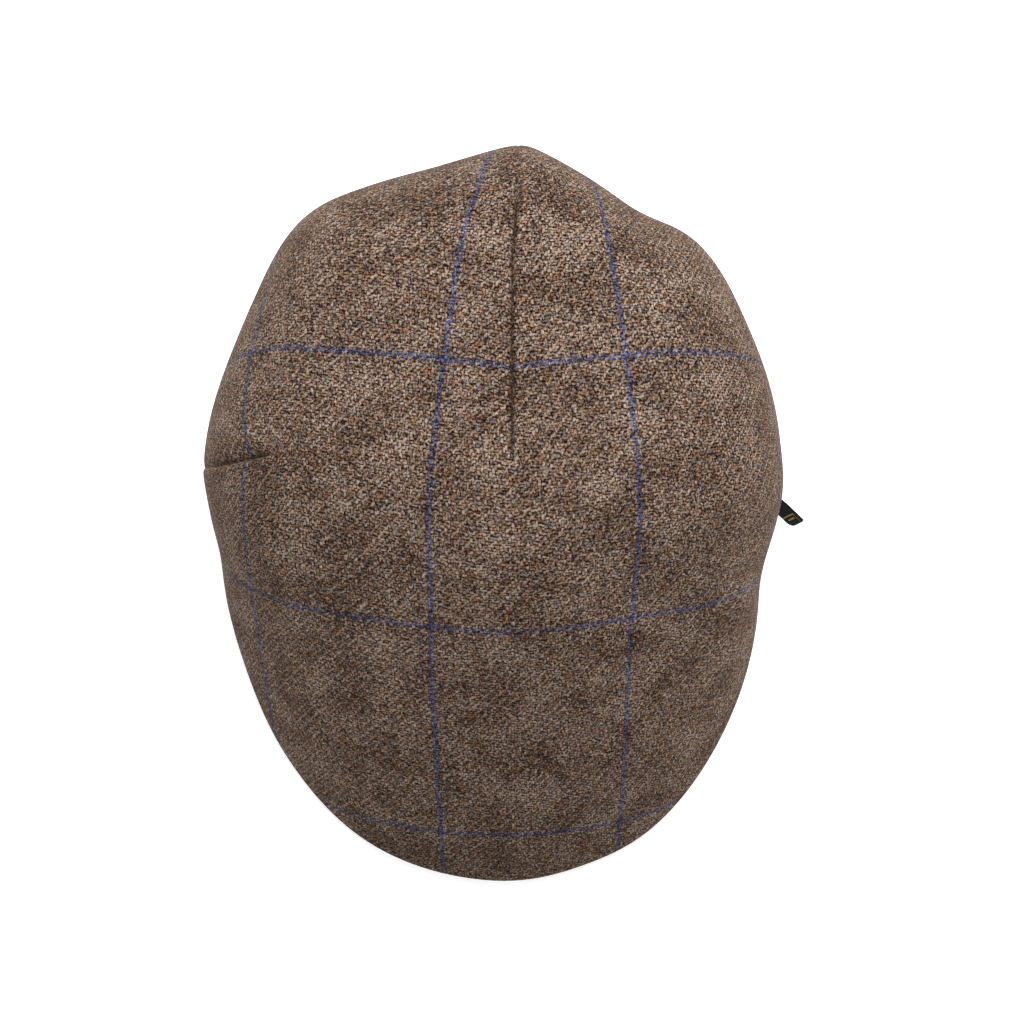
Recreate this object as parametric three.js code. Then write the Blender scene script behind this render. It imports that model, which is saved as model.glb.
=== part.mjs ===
// A flat cap of tweed: a soft one-piece crown drawn forward over a stiff peak, and a small folded
// label sewn to its side. Millimetres, +Z up, resting on z = 0. The peak points to -Y and +X is the
// wearer's left. The crown is described by its profile in each direction round one point on its top,
// where the dart of the back ends.

import * as THREE from 'three';

// ---------------------------------------------------------------------------------------------------
// Driving dimensions
// ---------------------------------------------------------------------------------------------------

const TOP_HEIGHT = 100;
const DART_END = { x: 2.5, y: 22.6 };

const CLOTH = 2.2;
const HEM_WIDTH = 2.6;

// The two outlines that the crown comes down to: the rim round the head, and the edge of the peak.
const RIM = { x: -4, y: 21, halfWidth: 91, halfLength: 101 };
const PEAK_EDGE = { x: -1.5, y: -45, halfWidth: 93, halfLength: 92.7 };

// The edge of the peak lifts off the table in the middle, and the inner edge arches over the forehead.
const CAMBER = { lift: 4.5, halfTurn: 42 };
const ARCH = { rise: 15, halfTurn: 66 };

const PEAK = { thickness: 3.2, edgeThickness: 2.2, fit: 0.65, endWidth: 3.0 };

// The label stands off the wall of the crown, and at its tip its width leans out at the top.
const LABEL = {
  turn: 83.2, height: 17, width: 9, thickness: 1.2, seat: 0.3,
  tip: { x: 112.9, y: 1.7, z: 13 },
  lean: { x: 0.37, y: 0.24, z: 0.9 },
};

// The crown by direction. Turn is in degrees from the front, towards the wearer's left. Reach is from
// the end of the dart to the widest line and widest is the height of that line. A larger flat keeps
// the top level for longer, and full is 1 where the cloth meets its edge at a slant and 2 where it
// turns over to stand upright.
const SECTIONS = [
  { turn: 0, reach: 160.3, widest: 8.5, flat: 1.6, full: 1 },
  { turn: 10, reach: 156.6, widest: 8, flat: 1.6, full: 1 },
  { turn: 20, reach: 151.5, widest: 7, flat: 1.62, full: 1.02 },
  { turn: 40, reach: 130.5, widest: 6, flat: 1.75, full: 1.15 },
  { turn: 55, reach: 115, widest: 12, flat: 2.05, full: 1.4 },
  { turn: 67, reach: 104.2, widest: 20, flat: 2.4, full: 1.7 },
  { turn: 76, reach: 102.4, widest: 26, flat: 2.7, full: 1.9 },
  { turn: 86, reach: 103.1, widest: 30, flat: 2.9, full: 2 },
  { turn: 95, reach: 101.7, widest: 33, flat: 3, full: 2 },
  { turn: 120, reach: 102.9, widest: 40, flat: 3.2, full: 2 },
  { turn: 142, reach: 108.8, widest: 48, flat: 3.4, full: 2 },
  { turn: 154, reach: 104.7, widest: 52, flat: 3.6, full: 2 },
  { turn: 165, reach: 108.8, widest: 57, flat: 3.8, full: 2 },
  { turn: 173, reach: 113.9, widest: 59, flat: 3.9, full: 2 },
  { turn: 179, reach: 118, widest: 60, flat: 4, full: 2 },
  { turn: 188, reach: 115.6, widest: 59, flat: 3.9, full: 2 },
  { turn: 196, reach: 114.5, widest: 57, flat: 3.8, full: 2 },
  { turn: 207, reach: 117.1, widest: 53, flat: 3.6, full: 2 },
  { turn: 220, reach: 121.2, widest: 48, flat: 3.4, full: 2 },
  { turn: 240, reach: 114.4, widest: 42, flat: 3.2, full: 2 },
  { turn: 268, reach: 116.2, widest: 36, flat: 3, full: 2 },
  { turn: 277, reach: 115.1, widest: 31, flat: 2.75, full: 1.93 },
  { turn: 286, reach: 115.8, widest: 25, flat: 2.5, full: 1.8 },
  { turn: 296, reach: 122, widest: 17, flat: 2.2, full: 1.5 },
  { turn: 308, reach: 130.3, widest: 10, flat: 1.95, full: 1.3 },
  { turn: 322, reach: 142.7, widest: 6, flat: 1.75, full: 1.15 },
  { turn: 340, reach: 156.5, widest: 7, flat: 1.62, full: 1.02 },
];

// The cloth rises or settles a little round one direction, at a share of the way out to the widest line.
const SWELLS = [
  { name: 'brow', turn: 0, halfTurn: 75, at: 0.19, spread: 0.19, rise: 2.8 },
  { name: 'front slope', turn: 0, halfTurn: 75, at: 0.6, spread: 0.25, rise: -2.9 },
  { name: 'back shoulder', turn: 180, halfTurn: 100, at: 0.74, spread: 0.26, rise: 2.4 },
];

// Creases run along one direction: two sewn darts, and a tuck where each end of the peak is sewn in.
// A crease begins at one share of the way out to the widest line and has eased away by another.
const CREASES = [
  { name: 'back dart', turn: 180, halfWidth: 1.6, depth: 1.5, from: 0.06, to: 0.95 },
  { name: 'side dart', turn: 268.5, halfWidth: 1.6, depth: 1.3, from: 0.74, to: 0.97 },
  { name: 'left tuck', turn: 67, halfWidth: 7, depth: 1.2, from: 0.88, to: 2 },
  { name: 'right tuck', turn: 287, halfWidth: 7, depth: 1.4, from: 0.88, to: 2 },
];

const MERIDIAN_STEP = 5;
const OUTER_ROWS = { over: 18, under: 5 };
const INNER_ROWS = { over: 12, under: 3 };
const PEAK_STATIONS = 40;
const PEAK_ROWS = 6;
const LABEL_STATIONS = 8;

// ---------------------------------------------------------------------------------------------------
// Measures of the cap by direction
// ---------------------------------------------------------------------------------------------------

const radians = THREE.MathUtils.degToRad;

function turnBetween(turn, other) {
  return THREE.MathUtils.euclideanModulo(turn - other + 180, 360) - 180;
}

function heading(turn) {
  return new THREE.Vector3(Math.sin(radians(turn)), -Math.cos(radians(turn)), 0);
}

// One column of SECTIONS at any turn, on a smooth curve through its rows.
function measure(column, turn) {
  const count = SECTIONS.length;
  const at = THREE.MathUtils.euclideanModulo(turn, 360);
  const row = SECTIONS.findLastIndex((section) => section.turn <= at);
  const [before, start, end, after] = [-1, 0, 1, 2].map((step) => {
    const section = SECTIONS[(row + step + count) % count];
    return { offset: turnBetween(section.turn, at), value: section[column] };
  });
  const span = end.offset - start.offset;
  const share = -start.offset / span;
  const leaving = (end.value - before.value) / (end.offset - before.offset) * span;
  const arriving = (after.value - start.value) / (after.offset - start.offset) * span;
  const [s2, s3] = [share ** 2, share ** 3];
  return (2 * s3 - 3 * s2 + 1) * start.value + (s3 - 2 * s2 + share) * leaving
    + (3 * s2 - 2 * s3) * end.value + (s3 - s2) * arriving;
}

// How far an outline lies from the end of the dart in one direction, with the outline drawn in by inset.
function outlineReach(outline, turn, inset = 0) {
  const [halfWidth, halfLength] = [outline.halfWidth - inset, outline.halfLength - inset];
  const step = heading(turn);
  const [stepX, stepY] = [step.x / halfWidth, step.y / halfLength];
  const [fromX, fromY] = [(DART_END.x - outline.x) / halfWidth, (DART_END.y - outline.y) / halfLength];
  const a = stepX ** 2 + stepY ** 2;
  const b = fromX * stepX + fromY * stepY;
  const c = fromX ** 2 + fromY ** 2 - 1;
  return (-b + Math.sqrt(b ** 2 - a * c)) / a;
}

// 1 at the middle of the front, falling smoothly to 0 at halfTurn on either side.
function hump(turn, halfTurn) {
  const away = Math.min(Math.abs(turnBetween(turn, 0)) / halfTurn, 1);
  return (1 + Math.cos(Math.PI * away)) / 2;
}

function footReach(turn) {
  return Math.max(outlineReach(RIM, turn), outlineReach(PEAK_EDGE, turn));
}

function footHeight(turn) {
  return CAMBER.lift * hump(turn, CAMBER.halfTurn);
}

// How far the swells lift the cloth, at a share of the way out to the widest line.
function swellHeight(turn, out) {
  return SWELLS.reduce((height, swell) => {
    const along = Math.max(0, 1 - ((out - swell.at) / swell.spread) ** 2) ** 2;
    return height + swell.rise * hump(turn - swell.turn, swell.halfTurn) * along;
  }, 0);
}

// How deep the cloth is pressed in by the creases, at a distance from the end of the dart.
function creaseDepth(turn, distance, reach) {
  const depths = CREASES.map((crease) => {
    const aside = turnBetween(turn, crease.turn);
    if (Math.abs(aside) > 90) {
      return 0;
    }
    const across = distance * Math.sin(radians(aside)) / crease.halfWidth;
    const begun = THREE.MathUtils.smoothstep(distance / reach, crease.from, crease.from + 0.1);
    const eased = THREE.MathUtils.smoothstep(distance / reach, crease.to - 0.1, crease.to);
    return crease.depth * begun * (1 - eased) * Math.max(0, 1 - across ** 2) ** 2;
  });
  return Math.max(...depths);
}

// ---------------------------------------------------------------------------------------------------
// Profiles: lists of { r, z } from the top of the crown down to its foot
// ---------------------------------------------------------------------------------------------------

// A line of points at even steps along a curve that is given at any share of its way.
function evenly(curve, steps) {
  const fine = 120;
  const points = Array.from({ length: fine + 1 }, (unused, i) => curve(i / fine));
  const lengths = [0];
  for (let i = 1; i <= fine; i += 1) {
    const step = Math.hypot(points[i].r - points[i - 1].r, points[i].z - points[i - 1].z);
    lengths.push(lengths[i - 1] + step);
  }
  const even = [];
  let i = 1;
  for (let k = 0; k <= steps; k += 1) {
    const target = lengths[fine] * k / steps;
    while (i < fine && lengths[i] < target) {
      i += 1;
    }
    const share = (target - lengths[i - 1]) / (lengths[i] - lengths[i - 1]);
    even.push({
      r: THREE.MathUtils.lerp(points[i - 1].r, points[i].r, share),
      z: THREE.MathUtils.lerp(points[i - 1].z, points[i].z, share),
    });
  }
  return even;
}

// A line moved along its own inward normal, by a depth that may change from point to point.
function pressed(points, depthAt) {
  return points.map((point, i) => {
    const before = points[Math.max(i - 1, 0)];
    const after = points[Math.min(i + 1, points.length - 1)];
    const [dr, dz] = [after.r - before.r, after.z - before.z];
    const depth = depthAt(point.r) / Math.hypot(dr, dz);
    return { r: point.r + depth * dz, z: point.z - depth * dr };
  });
}

// One side of the cloth at one turn. The inset is 0 outside and the thickness of the cloth inside.
function clothLine(turn, inset, rows) {
  const [flat, full] = [measure('flat', turn), measure('full', turn)];
  const reach = measure('reach', turn) - inset;
  const widest = measure('widest', turn) - inset * (2 - full) / 2;
  const top = TOP_HEIGHT - inset;
  const foot = { r: footReach(turn) - inset / CLOTH * HEM_WIDTH, z: footHeight(turn) };
  const over = (share) => {
    const out = Math.sin(Math.PI / 2 * share) ** (2 / flat);
    const height = (top - widest) * Math.cos(Math.PI / 2 * share) ** (2 / full);
    return { r: reach * out, z: widest + height + swellHeight(turn, out) };
  };
  const under = (share) => ({
    r: foot.r + (reach - foot.r) * (1 - share ** 2),
    z: THREE.MathUtils.lerp(widest, foot.z, share),
  });
  const line = [...evenly(over, rows.over), ...evenly(under, rows.under).slice(1)];
  return pressed(line, (r) => creaseDepth(turn, r, reach));
}

function place(turn, point) {
  const step = heading(turn);
  return new THREE.Vector3(DART_END.x + point.r * step.x, DART_END.y + point.r * step.y, point.z);
}

// ---------------------------------------------------------------------------------------------------
// Solids
// ---------------------------------------------------------------------------------------------------

// A closed solid through a row of loops with equal numbers of points, closed onto a tip at each end.
function loft(loops, startTip, endTip) {
  const count = loops[0].length;
  const positions = [startTip, ...loops.flat(), endTip].flatMap((point) => point.toArray());
  const index = (row, column) => 1 + row * count + (column % count);
  const last = 1 + loops.length * count;
  const triangles = [];
  for (let column = 0; column < count; column += 1) {
    triangles.push(0, index(0, column), index(0, column + 1));
    triangles.push(last, index(loops.length - 1, column + 1), index(loops.length - 1, column));
    for (let row = 0; row < loops.length - 1; row += 1) {
      const [a, b] = [index(row, column), index(row, column + 1)];
      const [c, d] = [index(row + 1, column + 1), index(row + 1, column)];
      triangles.push(a, d, c, a, c, b);
    }
  }
  const geometry = new THREE.BufferGeometry();
  geometry.setAttribute('position', new THREE.Float32BufferAttribute(positions, 3));
  geometry.setIndex(triangles);
  geometry.computeVertexNormals();
  return geometry;
}

function middle(loop) {
  const sum = loop.reduce((total, point) => total.add(point), new THREE.Vector3());
  return sum.divideScalar(loop.length);
}

// Evenly spaced directions, closer together at each crease so that it has its own folds of cloth.
function meridians() {
  const near = [-2.4, -0.8, 0, 0.8, 2.4];
  const darts = CREASES.filter((crease) => crease.halfWidth < 3);
  const crossings = darts.flatMap((dart) => near.map((step) => dart.turn + step));
  const even = Array.from({ length: 360 / MERIDIAN_STEP }, (unused, i) => i * MERIDIAN_STEP);
  const clear = (turn) => crossings.every((other) => Math.abs(turnBetween(turn, other)) > MERIDIAN_STEP / 3);
  return [...even.filter(clear), ...crossings].sort((a, b) => a - b);
}

function crownGeometry() {
  const turns = meridians();
  const outside = turns.map((turn) => clothLine(turn, 0, OUTER_ROWS));
  const inside = turns.map((turn) => clothLine(turn, CLOTH, INNER_ROWS));
  const ring = (lines, row) => turns.map((turn, i) => place(turn, lines[i][row]));
  const loops = [];
  for (let row = 1; row < outside[0].length; row += 1) {
    loops.push(ring(outside, row));
  }
  for (let row = inside[0].length - 1; row >= 1; row -= 1) {
    loops.push(ring(inside, row));
  }
  const top = new THREE.Vector3(DART_END.x, DART_END.y, TOP_HEIGHT);
  const ceiling = top.clone().setZ(TOP_HEIGHT - CLOTH);
  return loft(loops, top, ceiling);
}

// The peak between the opening for the head and the edge of the crown, at one turn.
function peakSpan(turn) {
  return {
    inner: outlineReach(RIM, turn, HEM_WIDTH),
    outer: outlineReach(PEAK_EDGE, turn) - HEM_WIDTH - PEAK.fit,
  };
}

// The turn at which the peak has narrowed to its end, searched from the front to one side.
function peakEnd(side) {
  let turn = 0;
  while (peakSpan(side * turn).outer - peakSpan(side * turn).inner > PEAK.endWidth) {
    turn += 0.1;
  }
  return side * turn;
}

function peakGeometry() {
  const [left, right] = [peakEnd(1), peakEnd(-1)];
  const loops = [];
  for (let station = 0; station <= PEAK_STATIONS; station += 1) {
    const turn = THREE.MathUtils.lerp(left, right, station / PEAK_STATIONS);
    const { inner, outer } = peakSpan(turn);
    const top = [];
    const under = [];
    for (let row = 0; row <= PEAK_ROWS; row += 1) {
      const inward = row / PEAK_ROWS;
      const r = THREE.MathUtils.lerp(outer, inner, inward);
      const z = footHeight(turn) + ARCH.rise * hump(turn, ARCH.halfTurn) * inward ** 1.15;
      const rim = Math.min(1, (outer - r) / 8);
      const thickness = THREE.MathUtils.lerp(PEAK.edgeThickness, PEAK.thickness, rim);
      under.push(place(turn, { r, z }));
      top.push(place(turn, { r, z: z + thickness }));
    }
    loops.push([...under, ...top.reverse()]);
  }
  return loft(loops, middle(loops[0]), middle(loops.at(-1)));
}

// A folded tape: it leaves the wall of the crown squarely and turns at once to point towards the front.
function labelGeometry() {
  const turn = LABEL.turn;
  const foot = footReach(turn);
  const [reach, widest] = [measure('reach', turn), measure('widest', turn)];
  const below = (widest - LABEL.height) / widest;
  const wall = place(turn, { r: foot + (reach - foot) * (1 - below ** 2), z: LABEL.height });
  const slant = 2 * (reach - foot) * below / widest;
  const up = heading(turn).multiplyScalar(slant).setZ(1).normalize();
  const out = heading(turn).setZ(-slant).normalize();
  const root = wall.clone().addScaledVector(out, LABEL.seat);
  const tip = new THREE.Vector3(LABEL.tip.x, LABEL.tip.y, LABEL.tip.z);
  const lean = new THREE.Vector3(LABEL.lean.x, LABEL.lean.y, LABEL.lean.z);
  const path = new THREE.QuadraticBezierCurve3(root, root.clone().addScaledVector(out, 2), tip);
  const loops = [];
  for (let station = 0; station <= LABEL_STATIONS; station += 1) {
    const along = path.getTangent(station / LABEL_STATIONS);
    const turned = Math.min(1, station / 2);
    const edge = up.clone().lerp(lean, turned).setLength(LABEL.width / 2);
    const face = along.clone().cross(edge).setLength(LABEL.thickness / 2);
    const centre = path.getPoint(station / LABEL_STATIONS);
    loops.push([
      centre.clone().add(face).add(edge),
      centre.clone().sub(face).add(edge),
      centre.clone().sub(face).sub(edge),
      centre.clone().add(face).sub(edge),
    ]);
  }
  return loft(loops, middle(loops[0]), middle(loops.at(-1)));
}

// ---------------------------------------------------------------------------------------------------
// The cap
// ---------------------------------------------------------------------------------------------------

function piece(name, geometry, colour, roughness) {
  const material = new THREE.MeshStandardMaterial({ color: colour, roughness, metalness: 0 });
  const mesh = new THREE.Mesh(geometry, material);
  mesh.name = name;
  return mesh;
}

const group = new THREE.Group();
group.add(piece('crown', crownGeometry(), 0x6b5648, 0.95));
group.add(piece('peak', peakGeometry(), 0x5d4b40, 0.95));
group.add(piece('side_label', labelGeometry(), 0x14130f, 0.6));

export default group;
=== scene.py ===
import heapq
import math

import bmesh
import bpy
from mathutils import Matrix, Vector


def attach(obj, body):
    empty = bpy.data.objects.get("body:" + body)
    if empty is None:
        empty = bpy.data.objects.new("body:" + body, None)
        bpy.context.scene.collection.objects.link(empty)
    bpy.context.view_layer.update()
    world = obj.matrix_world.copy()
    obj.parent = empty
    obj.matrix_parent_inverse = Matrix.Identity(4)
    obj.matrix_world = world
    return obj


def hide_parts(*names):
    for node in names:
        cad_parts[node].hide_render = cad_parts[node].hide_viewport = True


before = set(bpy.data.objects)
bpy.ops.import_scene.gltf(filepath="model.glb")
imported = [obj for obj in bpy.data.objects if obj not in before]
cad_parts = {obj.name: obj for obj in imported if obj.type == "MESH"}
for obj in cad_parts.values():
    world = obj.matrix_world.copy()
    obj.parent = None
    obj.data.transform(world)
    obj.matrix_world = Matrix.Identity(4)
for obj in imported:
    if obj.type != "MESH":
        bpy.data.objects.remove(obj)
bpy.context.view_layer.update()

# Metres and degrees, in the row's frame. A heading is 0 at the front and grows towards the wearer's left.
# Places on the flat cloth are across and along, counted from the end of the back dart.

# Overcheck: the size of one pane, the threads in it, and where its two counted lines run.
PANE_ACROSS = 0.0720
PANE_ALONG = 0.0973
ENDS_TO_PANE = 75.0
PICKS_TO_PANE = 90.0
END = PANE_ACROSS / ENDS_TO_PANE
PICK = PANE_ALONG / PICKS_TO_PANE
LINE_ACROSS = -0.0280
LINE_ALONG = 0.0340
# Threads counted before a line, so that it never lies where the count starts again.
LEAD = 10.0
# How many threads' widths a yarn wanders to either side.
WANDER = 2.2

# Back dart: its heading, the half angle of cloth that it takes up, and how deep its groove is.
BACK_HEADING = 180.0
BACK_TAKEN = 8.0
BACK_DEPTH = 0.0013
# How far the seam strays to the side, low on the back.
BACK_STRAY = 0.0024

# Side dart: its heading, the half angle that it takes up, where it ends, and how deep its groove is.
SIDE_HEADING = -91.5
SIDE_TAKEN = 9.0
SIDE_START = 0.084
SIDE_DEPTH = 0.0019
# The cloth leans towards the dart on both sides, and steps in close behind it.
SIDE_LEAN = 0.0065
SIDE_STEP = 0.0030

# A seam's width, and on the side dart's softer edge the width of its groove and of the shade in it.
SEAM = 0.0005
SOFT_GROOVE = 0.0030
SOFT_SHADE = 0.0016

# Edges that turn less than this about the end of the back dart run down the crown.
SAME_MERIDIAN = 0.35
# The turned hem lies below this height, and darts leave it flat.
HEM = 0.003
# Seams sink towards this point in the hollow.
HOLLOW = Vector((0.0, 0.02, 0.03))

# Where cloth is eased over the rim: heading, spread, start and end down the cloth, shift across and along.
EASED = [
    (-68.0, 15.0, 0.106, 0.128, 0.0, -0.0065),
    (62.0, 18.0, 0.104, 0.122, -0.0120, 0.0),
]

# Label: the width of its ribs and threads, two gold bars across it, and a gold thread by its upper edge.
TAPE_RIB = 0.00032
TAPE_THREAD = 0.00045
LONG_BAR = 0.0098
LONG_BAR_HALF = 0.0042
SHORT_BAR = 0.0116
SHORT_BAR_HALF = 0.0022
BAR_HALF_WIDTH = 0.00035
EDGE_THREAD = 0.0040
EDGE_THREAD_HALF_WIDTH = 0.00016

# The camera looks straight down. Its lens and sensor are in millimetres.
EYE = Vector((0.0025, 0.0062, 0.900))
LENS = 80.65
SENSOR = 36


# ---------------------------------------------------------------------------------------------------
# Shader maths
# ---------------------------------------------------------------------------------------------------

class Wire:
    """The output of one node. Sums written with wires become Math nodes."""

    def __init__(self, finish, socket):
        self.finish = finish
        self.socket = socket

    def sum(self, operation, *terms):
        return self.finish.node("ShaderNodeMath", {"operation": operation}, dict(enumerate(terms)))

    def __add__(self, other):
        return self.sum("ADD", self, other)

    def __radd__(self, other):
        return self.sum("ADD", other, self)

    def __sub__(self, other):
        return self.sum("SUBTRACT", self, other)

    def __rsub__(self, other):
        return self.sum("SUBTRACT", other, self)

    def __mul__(self, other):
        return self.sum("MULTIPLY", self, other)

    def __rmul__(self, other):
        return self.sum("MULTIPLY", other, self)

    def __truediv__(self, other):
        return self.sum("DIVIDE", self, other)

    def __mod__(self, other):
        return self.sum("FLOORED_MODULO", self, other)

    def __pow__(self, other):
        return self.sum("POWER", self, other)

    def __lt__(self, other):
        return self.sum("LESS_THAN", self, other)

    def __gt__(self, other):
        return self.sum("GREATER_THAN", self, other)

    def floor(self):
        return self.sum("FLOOR", self)

    def sine(self):
        return self.sum("SINE", self)

    def size(self):
        return self.sum("ABSOLUTE", self)

    def clamped(self):
        return self.finish.node("ShaderNodeClamp", {}, {0: self, 1: 0.0, 2: 1.0})


class Finish:
    """A material made of nodes."""

    def __init__(self, name):
        self.material = bpy.data.materials.new(name)
        self.material.use_nodes = True
        self.tree = self.material.node_tree
        self.shader = self.tree.nodes["Principled BSDF"]

    def put(self, socket, value):
        if isinstance(value, Wire):
            self.tree.links.new(value.socket, socket)
        else:
            socket.default_value = value

    def node(self, kind, settings, inputs, output=0):
        made = self.tree.nodes.new(kind)
        for name, value in settings.items():
            if name == "stops":
                ramp = made.color_ramp.elements
                while len(ramp) < len(value):
                    ramp.new(1.0)
                for stop, (place, colour) in zip(ramp, value):
                    stop.position = place
                    stop.color = colour
            else:
                setattr(made, name, value)
        for name, value in inputs.items():
            self.put(made.inputs[name], value)
        return Wire(self, made.outputs[output])

    def uv(self, name):
        return self.node("ShaderNodeUVMap", {"uv_map": name}, {})

    def parts(self, vector):
        made = self.tree.nodes.new("ShaderNodeSeparateXYZ")
        self.put(made.inputs[0], vector)
        return [Wire(self, made.outputs[i]) for i in range(3)]

    def vector(self, x, y, z=0.0):
        return self.node("ShaderNodeCombineXYZ", {}, {0: x, 1: y, 2: z})

    def speckle(self, place):
        return self.node("ShaderNodeTexWhiteNoise", {"noise_dimensions": "3D"}, {"Vector": place})

    def cloud(self, place, scale, detail=2.0, roughness=0.5):
        values = {"Vector": place, "Scale": scale, "Detail": detail, "Roughness": roughness}
        return self.node("ShaderNodeTexNoise", {"noise_dimensions": "3D"}, values)

    def blend(self, share, first, second, how="MIX"):
        settings = {"data_type": "RGBA", "blend_type": how}
        return self.node("ShaderNodeMix", settings, {0: share, 6: first, 7: second}, output=2)

    def ramp(self, value, stops):
        return self.node("ShaderNodeValToRGB", {"stops": stops}, {0: value})

    def dress(self, piece):
        piece.data.materials.clear()
        piece.data.materials.append(self.material)


def dye(red, green, blue):
    """A colour as a dyer's card shows it, out of 255, for a shader."""
    def linear(value):
        value = value / 255
        return value / 12.92 if value <= 0.04045 else ((value + 0.055) / 1.055) ** 2.4
    return (linear(red), linear(green), linear(blue), 1.0)


# ---------------------------------------------------------------------------------------------------
# Cloth
# ---------------------------------------------------------------------------------------------------

def rest_hands():
    """Nothing selected and no object active."""
    bpy.ops.object.select_all(action="DESELECT")


def cloth_copy(node, name):
    """A merged copy of a CAD node."""
    rest_hands()
    piece = bpy.data.objects.new(name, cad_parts[node].data.copy())
    piece.data.name = name
    bpy.context.scene.collection.objects.link(piece)
    bpy.context.view_layer.objects.active = piece
    piece.select_set(True)
    while piece.data.uv_layers:
        piece.data.uv_layers.remove(piece.data.uv_layers[0])
    bpy.ops.object.mode_set(mode="EDIT")
    bpy.ops.mesh.select_all(action="SELECT")
    bpy.ops.mesh.remove_doubles(threshold=2e-6)
    bpy.ops.object.mode_set(mode="OBJECT")
    return piece


def heading_of(point, centre):
    return math.degrees(math.atan2(point.x - centre.x, centre.y - point.y))


def turn_between(heading, other):
    return (heading - other + 180) % 360 - 180


def smooth(value, low, high):
    share = min(max((value - low) / (high - low), 0.0), 1.0)
    return share * share * (3 - 2 * share)


def walk_down(mesh, poles):
    """How far each point is from the top of the crown, along the cloth and down its own meridian."""
    far = {}
    queue = [(0.0, pole.index, pole) for pole in poles]
    heapq.heapify(queue)
    while queue:
        distance, index, point = heapq.heappop(queue)
        if point in far:
            continue
        far[point] = distance
        for edge in point.link_edges:
            other = edge.other_vert(point)
            if other not in far and on_meridian(edge, poles):
                heapq.heappush(queue, (distance + edge.calc_length(), other.index, other))
    return far


def on_meridian(edge, poles):
    """Whether an edge runs down the crown."""
    start, end = edge.verts
    if start in poles or end in poles:
        return True
    turn = turn_between(heading_of(start.co, poles[0].co), heading_of(end.co, poles[0].co))
    return abs(turn) < SAME_MERIDIAN


def pair_faces(mesh, poles):
    """Takes out each diagonal, so that the faces between two meridians have four sides."""
    row = {poles[0]: 0}
    queue = [poles[0]]
    while queue:
        point = queue.pop(0)
        for edge in point.link_edges:
            other = edge.other_vert(point)
            if other not in row and other not in poles and on_meridian(edge, poles):
                row[other] = row[point] + 1
                queue.append(other)
    diagonals = [edge for edge in mesh.edges
                 if not on_meridian(edge, poles) and row[edge.verts[0]] != row[edge.verts[1]]]
    bmesh.ops.dissolve_edges(mesh, edges=diagonals, use_verts=False)


def cloth_place(distance, heading, beyond_side):
    """Where a point of the crown lies on its flat cloth.

    beyond_side is 1 in front of the side dart and -1 behind it."""
    # The back dart takes up cloth all round, and the shoulders a little more.
    turned = math.radians(heading)
    taken = math.radians(BACK_TAKEN) * math.sin(turned / 2) + math.radians(1.0) * math.sin(2 * turned)
    across = distance * math.sin(turned - taken)
    along = -distance * math.cos(turned - taken)

    # Near the side dart the cloth leans towards it, and parts where the dart has taken it up.
    aside = math.radians(turn_between(heading, SIDE_HEADING))
    away = abs(distance * math.sin(aside)) if abs(aside) < math.pi / 2 else distance
    reached = smooth(distance, SIDE_START - 0.02, SIDE_START + 0.02) * smooth(math.cos(aside), 0.1, 0.8)
    across += SIDE_LEAN * (1 - math.exp(-away / 0.025)) * reached
    opened = max(distance - SIDE_START, 0.0) * math.tan(math.radians(SIDE_TAKEN))
    along += beyond_side * opened * math.exp(-away / 0.02)
    if beyond_side < 0:
        across -= SIDE_STEP * math.exp(-away / 0.006) * reached

    for middle, spread, start, end, shift_across, shift_along in EASED:
        share = math.exp(-(turn_between(heading, middle) / spread) ** 2) * smooth(distance, start, end)
        across += shift_across * share
        along += shift_along * share
    return across, along


def lay_cloth(piece):
    """Gives the crown its cloth coordinates, in metres, with a break along each dart.

    It returns the end of the back dart, which the meridians run from."""
    mesh = bmesh.new()
    mesh.from_mesh(piece.data)
    mesh.verts.ensure_lookup_table()
    crowded = sorted(mesh.verts, key=lambda point: -len(point.link_edges))
    poles = sorted(crowded[:2], key=lambda point: -point.co.z)
    pair_faces(mesh, poles)
    far = walk_down(mesh, poles)
    centre = poles[0].co.copy()
    cloth = mesh.loops.layers.uv.new("cloth")
    for face in mesh.faces:
        middle = heading_of(face.calc_center_median(), centre)
        beyond_side = -1 if turn_between(middle, SIDE_HEADING) < 0 else 1
        for corner in face.loops:
            point = corner.vert
            heading = heading_of(point.co, centre)
            if abs(heading) > 179.5:
                heading = math.copysign(180.0, middle)
            corner[cloth].uv = cloth_place(far.get(point, 0.0), heading, beyond_side)
    mesh.to_mesh(piece.data)
    mesh.free()
    return centre


def press_darts(piece, centre):
    """Sinks the seams of the two darts into the cloth, and marks them for the painted shade that the finish
    puts in them.
    """
    seam = piece.data.attributes.new("seam", "FLOAT", "POINT")
    for point in piece.data.vertices:
        if point.co.z < HEM:
            continue
        heading = heading_of(point.co, centre)
        out = math.hypot(point.co.x - centre.x, point.co.y - centre.y)
        inward = (HOLLOW - point.co).normalized()
        back = press_back(point, math.radians(turn_between(heading, BACK_HEADING)), out, inward)
        side = press_side(point, math.radians(turn_between(heading, SIDE_HEADING)), out, inward)
        seam.data[point.index].value = max(back, side)


def press_back(point, aside, out, inward):
    """The seam up the middle of the back, which wanders a little to the side and fades over the rim."""
    point.co.x += BACK_STRAY * smooth(out, 0.070, 0.105) * smooth(math.cos(aside), 0.8, 1.0)
    if abs(aside) >= math.pi / 2:
        return 0.0
    eased = 0.85 * smooth(out, 0.090, 0.112) * smooth(point.co.z, 0.035, 0.060)
    held = smooth(out, 0.0, 0.006) * (1 - eased)
    fold = math.exp(-abs(out * math.sin(aside)) / SEAM) * held
    point.co += inward * BACK_DEPTH * fold
    return fold


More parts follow.
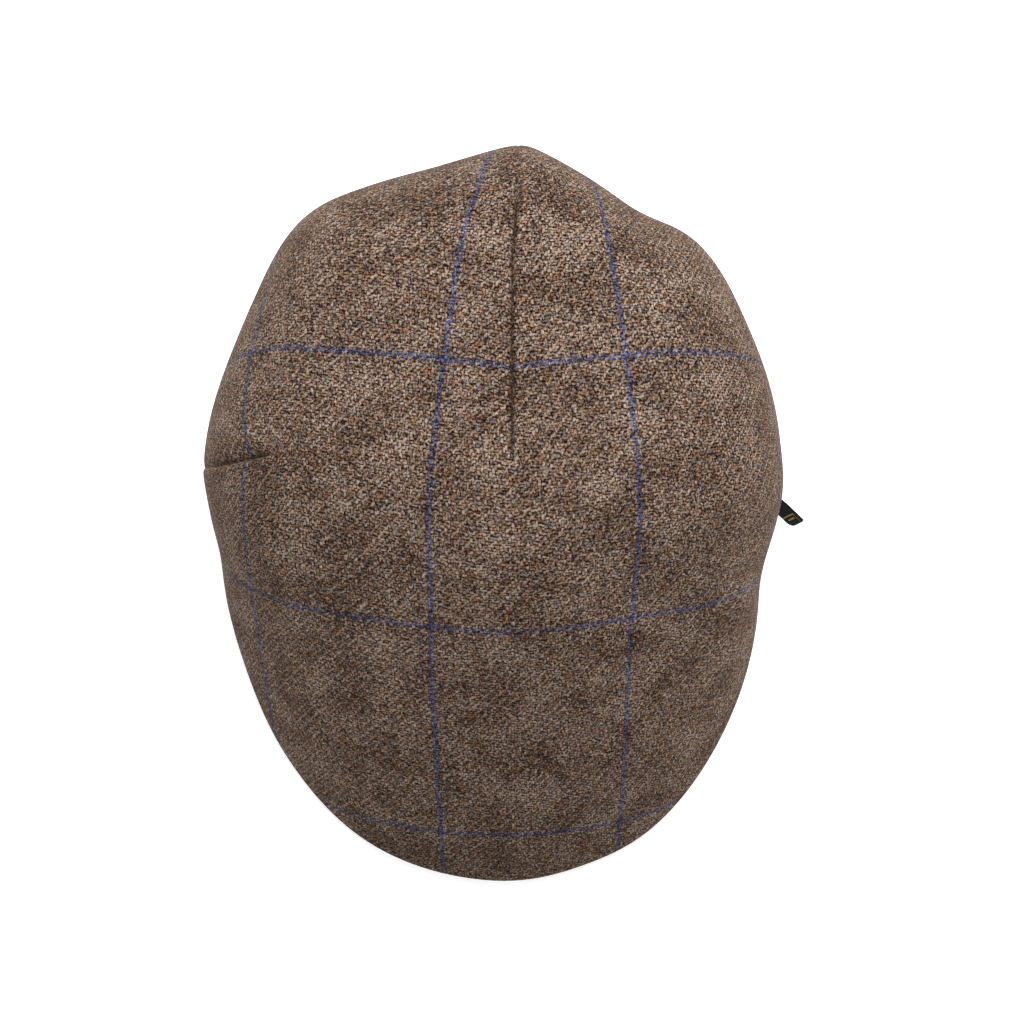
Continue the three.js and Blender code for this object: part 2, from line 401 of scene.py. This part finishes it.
def press_side(point, aside, out, inward):
    """The short seam at the wearer's right, which is sharp in front and soft behind."""
    if abs(aside) >= math.pi / 2:
        return 0.0
    strayed = 0.0026 - 0.0058 * smooth(out, 0.075, 0.118)
    point.co.y += strayed * smooth(math.cos(aside), 0.85, 1.0) * smooth(out, 0.03, 0.08)
    across = out * math.sin(aside)
    held = smooth(out, SIDE_START - 0.004, SIDE_START + 0.008) * (1 - 0.6 * smooth(out, 0.104, 0.116))
    groove, shade = (SOFT_GROOVE, SOFT_SHADE) if across < 0 else (SEAM, SEAM)
    point.co += inward * SIDE_DEPTH * math.exp(-abs(across) / groove) * held
    return math.exp(-abs(across) / shade) * held


def refine(piece, levels):
    """A Subdivision Surface, applied."""
    rest_hands()
    piece.select_set(True)
    bpy.context.view_layer.objects.active = piece
    finer = piece.modifiers.new("finer", "SUBSURF")
    finer.levels = levels
    finer.render_levels = levels
    finer.uv_smooth = "PRESERVE_BOUNDARIES"
    bpy.ops.object.modifier_apply(modifier=finer.name)


def round_off(piece, angle):
    """Smooth shading, except over edges that turn more than the angle, in degrees."""
    rest_hands()
    piece.select_set(True)
    bpy.context.view_layer.objects.active = piece
    bpy.ops.object.shade_smooth_by_angle(angle=math.radians(angle))


# ---------------------------------------------------------------------------------------------------
# Finishes
# ---------------------------------------------------------------------------------------------------

def tweed(name, cloth, across_shift=0.0, along_shift=0.0, seam=""):
    """Woollen 2/2 twill of mixed brown yarns, with a windowpane of blue yarns two threads wide."""
    finish = Finish(name)
    across, along, unused = finish.parts(finish.uv(cloth))
    across = across + across_shift
    along = along + along_shift
    flat = finish.vector(across, along)

    # Handspun unevenness: the threads wander a little to either side.
    drift = finish.cloud(flat, 420.0, 3.0, 0.8)
    drift_too = finish.cloud(finish.vector(along, across, 0.37), 420.0, 3.0, 0.8)
    end = (across - LINE_ACROSS) / END + (drift - 0.5) * WANDER + 1.0
    pick = (along - LINE_ALONG) / PICK + (drift_too - 0.5) * WANDER + 1.0
    column = end.floor()
    row = pick.floor()
    in_end = end - column
    in_pick = pick - row

    # Over or under: the floats pass two threads and step up one row to the right.
    # The second yarn of a blue line follows the first, so that the two float side by side.
    blue_end = near((end + LEAD) % ENDS_TO_PANE, LEAD + 1.0, 1.12)
    blue_pick = near((pick + LEAD) % PICKS_TO_PANE, LEAD + 1.0, 1.10)
    second_end = near(column % ENDS_TO_PANE, 1.0, 0.5)
    second_pick = near(row % PICKS_TO_PANE, 1.0, 0.5)
    phase = (column - row + second_end - second_pick) % 4.0
    warp_up = phase < 1.5
    weft_up = 1.0 - warp_up
    run = warp_up * ((1.0 - phase + in_pick) / 2.0) + weft_up * ((phase - 2.0 + in_end) / 2.0)
    side = warp_up * in_end + weft_up * in_pick
    crown = (run.clamped() * math.pi).sine() ** (0.5 + 0.2 * warp_up)
    flank = (side.clamped() * math.pi).sine() ** (0.7 - 0.45 * warp_up)
    height = crown * flank

    # Each float has its own shade, each yarn its slubs, and the fibres a fine streak along the float.
    diagonal = ((column - row) / 4.0).floor()
    shade = finish.speckle(finish.vector(column * warp_up + row * weft_up, diagonal, warp_up * 7.3))
    slub = finish.cloud(finish.vector(across, along, warp_up * 0.2), 850.0, 1.0, 0.6)
    streak = finish.vector(across * (0.6 + warp_up), along * (0.6 + weft_up))
    fibre = finish.cloud(streak, 1700.0, 3.0, 0.8)
    patch = finish.cloud(finish.vector(across, along, 0.7), 60.0, 3.0)
    tone = (shade - 0.5) * 0.4 + (slub - 0.5) * 1.5 + (fibre - 0.5) * 2.7 + (patch - 0.5) * 1.2
    tone = tone + warp_up * 0.10 + 0.46
    wool = finish.ramp(tone, [
        (0.0, dye(39, 25, 18)),
        (0.5, dye(105, 87, 76)),
        (1.0, dye(153, 138, 126)),
    ])

    # Flecks of rust, grey and old gold are carded into the wool.
    warmth = finish.cloud(finish.vector(across, along, 2.3), 290.0, 2.0, 0.7)
    gold = finish.cloud(finish.vector(across, along, 5.1), 350.0, 2.0, 0.7)
    wool = finish.blend(((warmth - 0.53) * 7.0).clamped() * 0.42, wool, dye(131, 85, 52))
    wool = finish.blend(((0.46 - warmth) * 7.0).clamped() * 0.58, wool, dye(88, 88, 92))
    wool = finish.blend(((gold - 0.55) * 7.0).clamped() * 0.5, wool, dye(132, 106, 66))

    # Blue shows where a blue yarn floats on top, and a little where it passes under.
    on_top = blue_end * (0.3 + 0.7 * warp_up) + blue_pick * (0.3 + 0.65 * weft_up)
    blue = finish.ramp(tone, [(0.0, dye(23, 26, 47)), (0.5, dye(52, 56, 84)), (1.0, dye(99, 103, 131))])
    wool = finish.blend(on_top.clamped(), wool, blue)

    # Painted shade darkens the colour in the gaps between floats and in the crease along a seam; fibre and
    # slub noise vary how deep it goes.
    depth = (1.4 * height + (fibre - 0.5) * 2.3 + (slub - 0.5) * 2.6 - 0.32 + on_top * 0.25).clamped()
    if seam:
        painted_seam_shade = finish.node("ShaderNodeAttribute", {"attribute_name": seam}, {}, output=2)
        depth = depth * (1.0 - 0.8 * painted_seam_shade)
    shadow = finish.ramp(depth, [
        (0.0, (0.055, 0.031, 0.021, 1.0)),
        (0.6, (0.72, 0.67, 0.64, 1.0)),
        (1.0, (1.0, 1.0, 1.0, 1.0)),
    ])
    colour = finish.blend(1.0, wool, shadow, "MULTIPLY")
    finish.put(finish.shader.inputs["Base Color"], colour)
    finish.put(finish.shader.inputs["Roughness"], 0.86 - 0.1 * height)
    raised = height * 0.7 + fibre * 0.3
    bump = finish.node("ShaderNodeBump", {}, {"Strength": 0.6, "Distance": 0.0004, "Height": raised})
    finish.put(finish.shader.inputs["Normal"], bump)
    finish.shader.inputs["Specular IOR Level"].default_value = 0.04
    finish.shader.inputs["Sheen Weight"].default_value = 0.12
    finish.shader.inputs["Sheen Roughness"].default_value = 0.4
    finish.shader.inputs["Sheen Tint"].default_value = dye(205, 170, 142)
    return finish


def tape():
    """Black ribbed label tape with two plain gold bars across and a gold thread by its upper edge."""
    finish = Finish("label_tape")
    along, across, unused = finish.parts(finish.uv("tape"))
    rib = (along * (math.pi / TAPE_RIB)).sine().size()
    thread = (across * (math.pi / TAPE_THREAD)).sine().size()
    weave = rib ** 0.6 * (0.6 + 0.4 * thread)
    wear = finish.cloud(finish.vector(along, across), 900.0, 2.0)
    # Painted shade: the black is darker in the grooves between the ribs and threads.
    black = finish.blend(weave, dye(4, 4, 5), dye(19, 18, 19))
    edge_thread = near(across, EDGE_THREAD, EDGE_THREAD_HALF_WIDTH) * (along > LONG_BAR)
    long_bar = near(along, LONG_BAR, BAR_HALF_WIDTH) * (across.size() < LONG_BAR_HALF)
    short_bar = near(along, SHORT_BAR, BAR_HALF_WIDTH) * near(across, 0.0002, SHORT_BAR_HALF)
    worn = 0.7 + 0.6 * (wear - 0.5)
    # Painted shade: the gold is darker between its threads, and the wear varies it at random.
    gold = (edge_thread + long_bar + short_bar).clamped() * (0.55 + 0.45 * thread) * worn
    colour = finish.blend(gold.clamped(), black, dye(210, 188, 70))
    finish.put(finish.shader.inputs["Base Color"], colour)
    finish.put(finish.shader.inputs["Roughness"], 0.55 + 0.2 * weave)
    bump = finish.node("ShaderNodeBump", {}, {"Strength": 0.5, "Distance": 0.0001, "Height": weave + gold})
    finish.put(finish.shader.inputs["Normal"], bump)
    finish.shader.inputs["Specular IOR Level"].default_value = 0.08
    return finish


def near(place, middle, half):
    """1 within half of the middle, on a wire."""
    return (place - middle).size() < half


# ---------------------------------------------------------------------------------------------------
# Pieces
# ---------------------------------------------------------------------------------------------------

def make_crown():
    """The soft crown. It returns the end of the back dart, which the other pieces are laid out from."""
    piece = cloth_copy("crown", "crown_tweed")
    centre = lay_cloth(piece)
    refine(piece, 2)
    press_darts(piece, centre)
    round_off(piece, 60)
    # The seam mark gives the tweed painted shade along the dart creases.
    tweed("tweed", "cloth", seam="seam").dress(piece)
    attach(piece, "root")
    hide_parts("crown")
    return centre


def make_peak(centre):
    """The stiff peak under the front of the crown, covered in the same cloth cut on its own."""
    piece = cloth_copy("peak", "peak_tweed")
    cloth = piece.data.uv_layers.new(name="cloth")
    for corner in piece.data.loops:
        point = piece.data.vertices[corner.vertex_index].co
        cloth.data[corner.index].uv = (point.x - centre.x, point.y - centre.y)
    refine(piece, 2)
    round_off(piece, 50)
    tweed("peak_tweed", "cloth", across_shift=0.021, along_shift=0.013).dress(piece)
    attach(piece, "root")
    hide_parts("peak")


def make_label(centre):
    """The folded tape at the wearer's left."""
    piece = cloth_copy("side_label", "side_label_tape")
    mesh = bmesh.new()
    mesh.from_mesh(piece.data)
    rings = tape_rings(mesh, centre)
    lay_tape(mesh, rings)
    soften_tape(mesh, rings)
    mesh.to_mesh(piece.data)
    mesh.free()
    round_off(piece, 35)
    tape().dress(piece)
    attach(piece, "root")
    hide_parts("side_label")


def tape_rings(mesh, centre):
    """The points of the tape in rings round it, from the middle of its root to the middle of its tip."""
    def off_middle(point):
        around = [edge.other_vert(point).co for edge in point.link_edges]
        return (sum(around, Vector()) / len(around) - point.co).length
    middles = sorted(mesh.verts, key=off_middle)[:2]
    root = min(middles, key=lambda point: (point.co - centre).xy.length)
    rings = [[root]]
    reached = {root}
    while rings[-1]:
        around = [edge.other_vert(point) for point in rings[-1] for edge in point.link_edges]
        rings.append([point for point in dict.fromkeys(around) if point not in reached])
        reached.update(rings[-1])
    return rings[:-1]


def lay_tape(mesh, rings):
    """Coordinates in metres, along the tape from its root and across it from its middle."""
    place = {}
    along = 0.0
    last = None
    for ring in rings[1:-1]:
        middle = sum((point.co for point in ring), Vector()) / len(ring)
        along += (middle - last).length if last else 0.0
        last = middle
        lower, low, high, higher = sorted(ring, key=lambda point: point.co.z)
        width = (higher.co + high.co - low.co - lower.co).normalized()
        for point in ring:
            place[point] = (along, (point.co - middle).dot(width))
    place[rings[0][0]] = (0.0, 0.0)
    place[rings[-1][0]] = (along, 0.0)
    cloth = mesh.loops.layers.uv.new("tape")
    for face in mesh.faces:
        for corner in face.loops:
            corner[cloth].uv = place[corner.vert]


def soften_tape(mesh, rings):
    """Rounds the lower corner of the tip, and opens the two layers of the tape along its edges."""
    tip = sorted(rings[-2], key=lambda point: point.co.z)
    width = (tip[-1].co - tip[0].co).normalized()
    spare = [edge for ring in rings[-4:-2] for edge in mesh.edges if set(edge.verts) <= set(ring)]
    bmesh.ops.dissolve_verts(mesh, verts=[rings[0][0], rings[-1][0]])
    bmesh.ops.join_triangles(mesh, faces=mesh.faces, angle_face_threshold=3.0, angle_shape_threshold=3.0)
    bmesh.ops.dissolve_edges(mesh, edges=spare, use_verts=True)
    corner = [edge for edge in mesh.edges if set(edge.verts) == set(tip[:2])]
    bmesh.ops.bevel(mesh, geom=corner, offset=0.0030, segments=6, profile=0.5, affect="EDGES",
                    loop_slide=True)
    rims = [face for face in mesh.faces if abs(face.normal.dot(width)) > 0.8]
    bmesh.ops.inset_region(mesh, faces=rims, thickness=0.0004, depth=-0.0003, use_even_offset=True,
                           use_interpolate=True)


# ---------------------------------------------------------------------------------------------------
# Studio
# ---------------------------------------------------------------------------------------------------

def make_studio():
    """White paper a hair below the hem, a soft key light behind, a weak one at each side, and the camera."""
    rest_hands()
    bpy.ops.mesh.primitive_plane_add(size=40, location=(0, 0, -0.0002))
    floor = bpy.context.active_object
    floor.name = "floor"
    paper = Finish("paper")
    paper.put(paper.shader.inputs["Base Color"], dye(205, 205, 205))
    paper.put(paper.shader.inputs["Roughness"], 0.9)
    paper.shader.inputs["Specular IOR Level"].default_value = 0.0
    paper.shader.inputs["Emission Color"].default_value = (1.0, 1.0, 1.0, 1.0)
    paper.shader.inputs["Emission Strength"].default_value = 0.86
    paper.dress(floor)

    world = bpy.data.worlds.new("studio")
    bpy.context.scene.world = world
    world.use_nodes = True
    world.node_tree.nodes["Background"].inputs["Color"].default_value = (1, 1, 1, 1)
    world.node_tree.nodes["Background"].inputs["Strength"].default_value = 0.05

    soft_box("key", (0.09, 0.38, 0.87), 0.40, 16.2)
    soft_box("left side", (-0.75, -0.10, 0.14), 0.3, 1.8)
    soft_box("right side", (0.75, -0.10, 0.14), 0.3, 1.6)

    bpy.ops.object.camera_add(location=EYE, rotation=(0, 0, 0))
    camera = bpy.context.active_object
    camera.name = "camera"
    camera.data.lens = LENS
    camera.data.sensor_width = SENSOR
    camera.data.clip_start = 0.01
    bpy.context.scene.camera = camera
    bpy.context.scene.view_settings.view_transform = "Standard"


def soft_box(name, place, size, power):
    """A square light, turned to the middle of the cap."""
    aim = Vector((0, 0, 0.05)) - Vector(place)
    bpy.ops.object.light_add(type="AREA", location=place, rotation=aim.to_track_quat("-Z", "Y").to_euler())
    lamp = bpy.context.active_object
    lamp.name = name
    lamp.data.size = size
    lamp.data.energy = power


dart_end = make_crown()
make_peak(dart_end)
make_label(dart_end)
make_studio()
